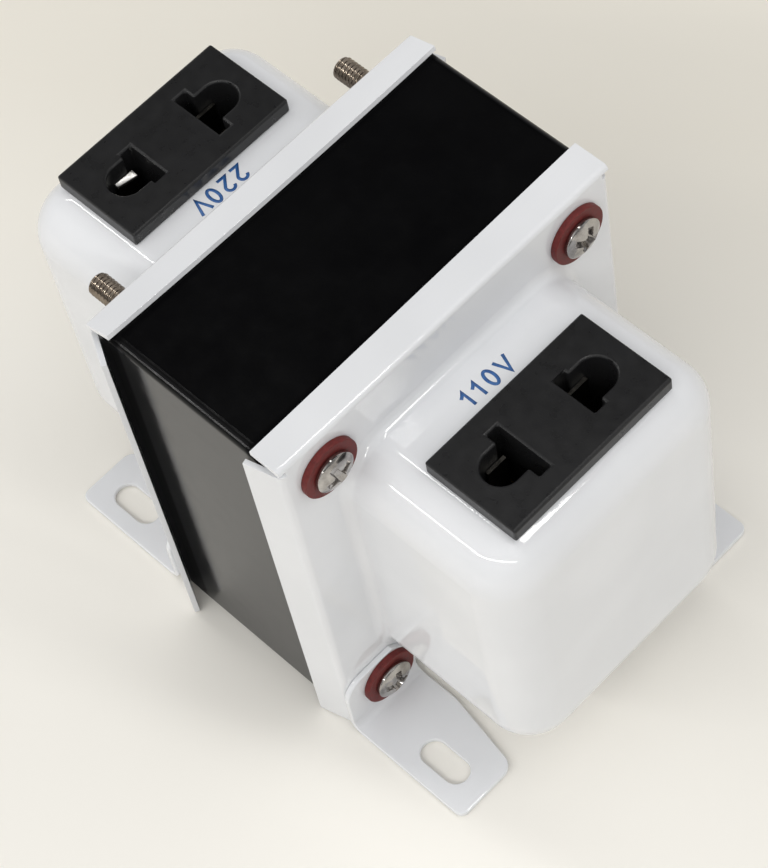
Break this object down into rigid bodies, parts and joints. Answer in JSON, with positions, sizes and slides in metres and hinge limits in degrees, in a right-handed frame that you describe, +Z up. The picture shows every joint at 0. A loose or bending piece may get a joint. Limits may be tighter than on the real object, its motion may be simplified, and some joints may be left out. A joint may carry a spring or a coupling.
{
  "type": "travel voltage converter",
  "caption": "Step-up and step-down travel transformer: a wrapped core between two white drawn end bells, each with a black outlet on top, on slotted feet.",
  "frame": {"origin": "middle of the footprint, on the surface that the feet stand on", "axes": "+X along the bolts towards the 110 V end, +Y across the core, +Z up through the outlets"},
  "size_m": [0.1046, 0.074, 0.0809],
  "materials": {
    "white_enamel": "gloss white enamel on sheet steel",
    "lamination_steel": "bare stamped silicon steel",
    "black_wrap": "gloss black film",
    "bobbin_plastic": "natural nylon",
    "copper_wire": "enamelled copper wire",
    "coil_tape": "yellow polyester tape",
    "outlet_plastic": "satin black moulding",
    "contact_brass": "bright brass strip",
    "blue_insulation": "blue PVC",
    "red_insulation": "red PVC",
    "plated_steel": "nickel-plated steel",
    "red_fibre": "dark red vulcanised fibre"
  },
  "bodies": {
    "root": {"front_bell": "white_enamel", "rear_bell": "white_enamel", "e_lamination_stack": "lamination_steel", "i_lamination_stack": "lamination_steel", "core_wrap": "black_wrap", "bobbin": "bobbin_plastic", "winding_110": "copper_wire", "winding_220": "copper_wire", "coil_tape": "coil_tape", "front_outlet": "outlet_plastic", "rear_outlet": "outlet_plastic", "front_left_contact": "contact_brass", "front_right_contact": "contact_brass", "rear_left_contact": "contact_brass", "rear_right_contact": "contact_brass", "front_left_lead": "blue_insulation", "front_right_lead": "red_insulation", "rear_left_lead": "blue_insulation", "rear_right_lead": "red_insulation", "weld_nuts": "plated_steel", "bolts": "plated_steel", "front_washers": "red_fibre", "rear_washers": "red_fibre", "rear_foot_nuts": "plated_steel", "front_left_foot": "white_enamel", "front_right_foot": "white_enamel", "rear_left_foot": "white_enamel", "rear_right_foot": "white_enamel"}
  },
  "joints": []
}
